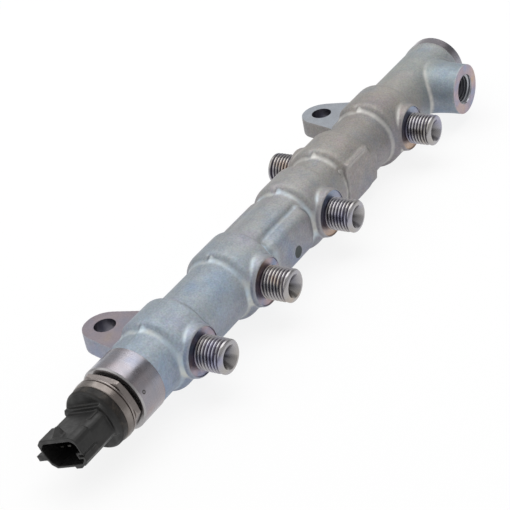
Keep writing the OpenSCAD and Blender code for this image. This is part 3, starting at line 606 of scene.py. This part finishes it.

# The five pipe studs: turned from the same metal, with an M14 x 1.5 thread, a plain tip and a
# conical seat for the pipe, drilled through to the gallery. Crests shine, and the roots are painted dark as
# shade.
STUD_R, TIP_R, ROOT_R, NECK_R, PORT_R = 6.95, 6.88, 6.15, 5.95, 1.5
studs = bmesh.new()
for x, ring, tip, turn in RINGS:
    neck, last = ring - 0.5, tip - 2.1
    stud = rolled_thread(neck, last, STUD_R, ROOT_R, PITCH, lambda a, r: min(
        r, NECK_R + max(0.0, a - neck), ROOT_R + max(0.0, last - a) * 1.6))
    draw_on(stud, open_rim(stud, last), [
        (last + 0.25, 6.1), (last + 0.5, 6.75), (last + 0.65, TIP_R), (tip - 0.95, TIP_R), (tip - 0.6, 6.7),
        (tip - 0.25, 6.25), (tip - 0.07, 5.85), (tip, 5.55), (tip, 5.0), (tip - 0.12, 4.8), (tip - 5.1, 1.7),
        (tip - 5.2, PORT_R), (tip - 14, PORT_R)])
    draw_on(stud, open_rim(stud, neck), [(ring - 0.7, NECK_R), (ring - 2.5, NECK_R)])
    take(studs, stud, to_port(x, turn))
# two attributes tell the material how deep in the thread a point lies and what is in the drilling;
# with them it paints shade in the thread roots and black shade in the drilling
depth = studs.verts.layers.float.new("depth")
bore = studs.verts.layers.float.new("bore")
for v in studs.verts:
    x, ring, tip, turn = min(RINGS, key=lambda p: abs(v.co.x - p[0]))
    r, out = math.hypot(v.co.x - x, v.co.z), abs(v.co.y)
    v[depth] = max(0.0, min(1.0, (STUD_R - 0.3 - r) / 0.45)) if out < tip - 1.8 and r > 5 else 0.0
    v[bore] = 1.0 if out < tip - 4.9 and r < 2 else 0.0

threaded, tree, shader, where = finish("threaded_steel", 0.95, 0.26)
tone = stops(tree, speckle(tree, where, 75, 2.0), (0.3, (0.31, 0.31, 0.43)), (0.45, (0.39, 0.38, 0.40)),
             (0.6, (0.41, 0.39, 0.37)), (0.72, (0.45, 0.36, 0.29)))
# painted shade: the thread roots darken and the drilling turns black
shade_and_mottle = blend(tree, put(tree, "Attribute", attribute_name="depth").outputs["Fac"], tone, (0.11, 0.10, 0.13, 1))
shade_and_mottle = blend(tree, put(tree, "Attribute", attribute_name="bore").outputs["Fac"], shade_and_mottle, (0.03, 0.03, 0.03, 1))
tree.links.new(shade_and_mottle, shader.inputs["Base Color"])
bumps(tree, shader, speckle(tree, where, 1400, 2.0), 0.00003, 0.5)
piece("rail_studs", studs, "rail_body", "zinc_steel", threaded, crease=28)

# The sensor's steel body: turned from hexagon bar and nickel plated, with a thin round rim in front
# of the hexagon. Its stem is screwed into the near end of the rail.
HEX_BACK, HEX_FRONT, RIM_FRONT, RECESS_FLOOR = -1.4, -4.5, -5.6, -2.9
FLAT, RIM_R, STEM_R, PRESSURE_HOLE_R = 12.0, 13.15, 9.0, 1.75
CORNER = FLAT / math.cos(math.radians(30))
# a lathe's chamfers cut the corners of the hexagon at both ends
chamfer = [(HEX_BACK - 0.7 * i / 6, 12.3 + (CORNER - 12.3) * i / 6) for i in range(7)]
front = [(HEX_FRONT + 0.9 - 0.9 * i / 6, CORNER - (CORNER - 12.1) * i / 6) for i in range(7)]
sensor = lathe([(18.6, PRESSURE_HOLE_R), (18.6, 6.0), (17.2, 8.0), (16.0, 8.2), (15.2, STEM_R),
                (HEX_BACK + 0.1, STEM_R), (HEX_BACK, STEM_R + 0.3)] + chamfer + front + [
                (HEX_FRONT, 12.6), (HEX_FRONT - 0.1, 12.95), (HEX_FRONT - 0.35, RIM_R), (RIM_FRONT + 0.35, RIM_R),
                (RIM_FRONT + 0.1, 13.0), (RIM_FRONT, 12.7), (RIM_FRONT, 10.9), (RECESS_FLOOR, 10.8),
                (RECESS_FLOOR, 4.6), (RECESS_FLOOR, PRESSURE_HOLE_R)], 144, closed=True)
# the flats of the bar, two degrees off the level
for v in sensor.verts:
    if HEX_FRONT - 0.01 < v.co.x < HEX_BACK + 0.01:
        r = math.hypot(v.co.y, v.co.z)
        turn = math.degrees(math.atan2(v.co.z, v.co.y)) - 2
        dev = turn % 60 - 30
        k = min(1.0, FLAT / math.cos(math.radians(dev)) / r) if r > FLAT - 0.5 else 1.0
        v.co.y, v.co.z = v.co.y * k, v.co.z * k
nickel, tree, shader, where = finish("nickel_plated", 0.95, 0.3)
tone = stops(tree, speckle(tree, where, 130, 3.0), (0.3, (0.20, 0.18, 0.17)), (0.55, (0.27, 0.24, 0.23)),
             (0.75, (0.33, 0.30, 0.28)))
tree.links.new(tone, shader.inputs["Base Color"])
tree.links.new(span(tree, speckle(tree, where, 420, 3.0), 0.3, 0.7, 0.22, 0.4), shader.inputs["Roughness"])
bumps(tree, shader, speckle(tree, where, 900, 3.0), 0.00005, 0.4)
piece("sensor_hexagon", sensor, "sensor_body", "nickel_steel", nickel, crease=20)

# The crimp sleeve: a short tube pressed from thin steel, nickel plated, rolled over at its front
# edge to hold the black moulding. A brown groove shows between it and the rim.
SLEEVE_BACK, SLEEVE_FRONT = -5.62, -9.0
sleeve = lathe([(SLEEVE_BACK, 12.3), (SLEEVE_BACK, 12.75), (-5.95, 12.8), (-6.05, 13.1), (-6.25, 13.25),
                (-7.6, 13.12), (-8.5, 12.97), (-8.85, 12.85), (SLEEVE_FRONT, 12.6), (SLEEVE_FRONT, 12.3),
                (-8.9, 12.25)], 144, closed=True)
rolled, tree, shader, where = finish("rolled_sleeve", 0.95, 0.3)
axes = put(tree, "SeparateXYZ", {"Vector": where})
groove = span(tree, axes.outputs["X"], (NEAR_X - 6.08) * MM, (NEAR_X - 5.95) * MM)
tone = stops(tree, speckle(tree, where, 110, 3.0), (0.3, (0.15, 0.13, 0.12)), (0.7, (0.26, 0.235, 0.22)))
tree.links.new(blend(tree, groove, tone, (0.10, 0.07, 0.055, 1)), shader.inputs["Base Color"])
tree.links.new(span(tree, speckle(tree, where, 380, 3.0), 0.3, 0.7, 0.2, 0.42), shader.inputs["Roughness"])
bumps(tree, shader, speckle(tree, where, 800, 3.0), 0.00005, 0.4)
piece("crimp_ring", sleeve, "crimp_sleeve", "nickel_steel", rolled, crease=25)

# The sensor's moulding: round base, flange and connector in one piece of black glass-filled
# plastic. Its edges come from the tool with small radii.
PLUG_TURN = math.radians(-20)
LATCH_X, LATCH_Y, LATCH_Z, LATCH_TAPER, LATCH_RISE = -27.5, -0.6, 7.5, 0.4, 0.8
KEY_SLOT, KEY_SLOT_SIZE = (-27.3, -8.75, -1.9), (7.4, 2.1, 1.4)
blank = bmesh.new()
blank.from_mesh(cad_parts["sensor_housing"].data)
bmesh.ops.remove_doubles(blank, verts=blank.verts, dist=1e-7)
# the latch tapers to a narrow top, and the slot over the key is shallow behind the mouth
on_rail = Matrix.Scale(MM, 4) @ Matrix.Translation((NEAR_X, AXIS_Y, 0)) @ Matrix.Rotation(PLUG_TURN, 4, "X")
for v in blank.verts:
    at = on_rail.inverted() @ v.co
    if at.x < LATCH_X and at.z > LATCH_Z:
        v.co = on_rail @ Vector((at.x, LATCH_Y + (at.y - LATCH_Y) * LATCH_TAPER, at.z + LATCH_RISE))
bmesh.ops.create_cube(blank, size=1.0, matrix=on_rail @ Matrix.Translation(KEY_SLOT)
                      @ Matrix.Diagonal((*KEY_SLOT_SIZE, 1)))
shape = bpy.data.meshes.new("sensor_housing")
blank.to_mesh(shape)
blank.free()
moulding = fuse(shape, 0.25 * MM)
soften(moulding, 1)
bmesh.ops.transform(moulding, matrix=Matrix.Translation((-NEAR_X, -AXIS_Y, 0)) @ Matrix.Scale(1 / MM, 4),
                    verts=moulding.verts)
black, tree, shader, where = finish("black_moulding", 0.0, 0.5)
shade = stops(tree, speckle(tree, where, 160, 4.0, 0.6), (0.35, (0.007, 0.007, 0.007)),
              (0.6, (0.011, 0.0105, 0.010)), (0.75, (0.020, 0.018, 0.015)))
axes = put(tree, "SeparateXYZ", {"Vector": where})
# the base's side is mottled grey and brown, and reflects less
side = span(tree, axes.outputs["X"], (NEAR_X - 12.6) * MM, (NEAR_X - 11.8) * MM)
shade_and_mottle = stops(tree, speckle(tree, where, 420, 5.0, 0.7), (0.36, (0.006, 0.005, 0.005)),
             (0.52, (0.014, 0.011, 0.009)), (0.66, (0.045, 0.036, 0.028)))
tree.links.new(blend(tree, side, shade, shade_and_mottle), shader.inputs["Base Color"])
tree.links.new(span(tree, side, 0.0, 1.0, 0.5, 0.3), shader.inputs["Specular IOR Level"])
tree.links.new(span(tree, speckle(tree, where, 330, 3.0), 0.3, 0.7, 0.38, 0.6), shader.inputs["Roughness"])
bumps(tree, shader, speckle(tree, where, 1800, 3.0), 0.00006, 0.5)
piece("sensor_moulding", moulding, "sensor_housing", "housing_plastic", black, crease=60)

# The measuring cell: a cup turned from stainless steel, with a thin diaphragm that bends under the
# fuel's pressure. It is welded on top of the stem. Like all that is inside, it keeps its plain solid.


def dress(nodes, made):
    """Gives CAD nodes a material of their own."""
    for name in nodes:
        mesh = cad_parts[name].data
        mesh.materials.clear()
        mesh.materials.append(made)


cell, tree, shader, where = finish("cell_steel", 0.95, 0.3)
marks = put(tree, "TexNoise", {"W": put(tree, "SeparateXYZ", {"Vector": where}).outputs["X"], "Scale": 5000.0},
            noise_dimensions="1D").outputs["Fac"]
tone = stops(tree, marks, (0.3, (0.42, 0.42, 0.43)), (0.7, (0.52, 0.52, 0.53)))
tree.links.new(tone, shader.inputs["Base Color"])
bumps(tree, shader, marks, 0.00003, 0.6)
dress(["measuring_cell"], cell)

# The seal ring: a moulded ring of black rubber, squeezed between the moulding and the steel body.
# It keeps water out of the sensor.
rubber, tree, shader, where = finish("seal_rubber", 0.0, 0.7)
dust = speckle(tree, where, 900, 3.0)
tone = stops(tree, dust, (0.3, grey(0.012)), (0.75, grey(0.035)))
tree.links.new(tone, shader.inputs["Base Color"])
bumps(tree, shader, dust, 0.00004, 0.5)
dress(["seal_ring"], rubber)

# The board's carrier and the filter capacitors: pale mouldings of filled plastic and of ceramic.
# The carrier sits in the steel body, and the capacitors are soldered to the board.
ceramic, tree, shader, where = finish("carrier_moulding", 0.0, 0.5)
dust = speckle(tree, where, 700, 3.0)
tone = stops(tree, dust, (0.3, (0.50, 0.46, 0.34)), (0.7, (0.58, 0.53, 0.40)))
tree.links.new(tone, shader.inputs["Base Color"])
bumps(tree, shader, dust, 0.00003, 0.4)
dress(["board_carrier", "filter_capacitors"], ceramic)

# The circuit board: green laminate of glass cloth, cut to a disc and fixed on the carrier.
# The weave of the cloth shows faintly through the lacquer.
laminate, tree, shader, where = finish("board_laminate", 0.0, 0.35)
weave = put(tree, "TexBrick", {"Vector": where, "Scale": 900.0, "Color1": (0.010, 0.085, 0.035, 1),
                               "Color2": (0.014, 0.105, 0.045, 1), "Mortar": (0.008, 0.065, 0.028, 1)})
tree.links.new(weave.outputs["Color"], shader.inputs["Base Color"])
bumps(tree, shader, weave.outputs["Fac"], 0.00003, 0.4)
dress(["circuit_board"], laminate)

# The signal chip: moulded in black epoxy and soldered on top of the board. It turns the cell's
# small voltages into the sensor's signal.
epoxy, tree, shader, where = finish("chip_case", 0.0, 0.45)
dust = speckle(tree, where, 1500, 2.0)
tone = stops(tree, dust, (0.3, grey(0.010)), (0.7, grey(0.022)))
tree.links.new(tone, shader.inputs["Base Color"])
bumps(tree, shader, dust, 0.00003, 0.5)
dress(["signal_chip"], epoxy)

# The contact springs and the terminals: stamped and bent from copper alloy strip and tinned. The
# terminals are pressed into the moulding, and the springs join them to the board.
tin, tree, shader, where = finish("tinned_contact", 0.95, 0.3)
flow = speckle(tree, where, 600, 3.0)
# painted shade: the tin is coloured nearly black, as the terminals sit in the shade inside the socket
tone = stops(tree, flow, (0.3, (0.045, 0.043, 0.04)), (0.7, (0.07, 0.067, 0.062)))
tree.links.new(tone, shader.inputs["Base Color"])
tree.links.new(span(tree, flow, 0.3, 0.7, 0.22, 0.4), shader.inputs["Roughness"])
bumps(tree, shader, flow, 0.00002, 0.4)
dress(["contact_spring_1", "contact_spring_2", "contact_spring_3", "terminal_1", "terminal_2", "terminal_3"], tin)

# The floor is a plain sheet of white paper under the rail. It looks white to the lens and in
# reflections, and keeps the rail's shadow.
FLOOR_Z = -16.8 * MM
floor_mesh = bmesh.new()
bmesh.ops.create_grid(floor_mesh, x_segments=1, y_segments=1, size=6.0,
                      matrix=Matrix.Translation((0, 0, FLOOR_Z)))
floor_data = bpy.data.meshes.new("floor")
floor_mesh.to_mesh(floor_data)
floor_mesh.free()
floor = bpy.data.objects.new("floor", floor_data)
bpy.context.collection.objects.link(floor)
paper = bpy.data.materials.new("floor_paper")
paper.use_nodes = True
paper.node_tree.nodes["Principled BSDF"].inputs["Base Color"].default_value = (0.97, 0.97, 0.97, 1)
paper.node_tree.nodes["Principled BSDF"].inputs["Roughness"].default_value = 0.9
floor_data.materials.append(paper)
tree = paper.node_tree
rays = put(tree, "LightPath")
seen = rays.outputs["Is Camera Ray"]
for other in ("Is Glossy Ray", "Is Transmission Ray"):
    seen = sums(tree, "MAXIMUM", seen, rays.outputs[other])
lit = put(tree, "MixShader", {0: sums(tree, "MULTIPLY", seen, 0.85), 1: tree.nodes["Principled BSDF"].outputs[0],
                              2: put(tree, "Emission", {"Strength": 1.0}).outputs[0]})
tree.links.new(lit.outputs[0], tree.nodes["Material Output"].inputs["Surface"])

# The studio is white all round, with gaps between its soft boxes and a brighter one behind the
# sensor. A wide soft box hangs over the rail.
world = bpy.data.worlds.new("studio")
bpy.context.scene.world = world
world.use_nodes = True
world.node_tree.nodes["Background"].inputs["Strength"].default_value = 0.58
tree = world.node_tree
sight = put(tree, "TexCoord").outputs["Generated"]
room = (1, 1, 1, 1)
# each patch: its direction, the cosines at its rim and where it is full, and its level
for way, low, high, level in (((0.655, -0.44, 0.615), 0.955, 0.985, 0.2),
                              ((-0.63, -0.53, 0.567), 0.95, 0.985, 0.2),
                              ((0.80, -0.42, 0.43), 0.96, 0.99, 0.35),
                              ((-0.51, 0.54, 0.66), 0.86, 0.95, 2.2)):
    aim = put(tree, "VectorMath", {0: sight, 1: way}, operation="DOT_PRODUCT").outputs["Value"]
    room = blend(tree, span(tree, aim, low, high), room, (level, level, level, 1))
tree.links.new(room, tree.nodes["Background"].inputs["Color"])
lamp = bpy.data.lights.new("soft_box_top", "AREA")
lamp.shape, lamp.size, lamp.size_y, lamp.energy = "RECTANGLE", 1.3, 0.9, 6.9
soft_box = bpy.data.objects.new("soft_box_top", lamp)
bpy.context.collection.objects.link(soft_box)
soft_box.location = (0.3, 0.1, 1.0)
soft_box.rotation_mode = "QUATERNION"
soft_box.rotation_quaternion = (-soft_box.location).to_track_quat("-Z", "Y")

bpy.context.scene.view_settings.view_transform = "Standard"
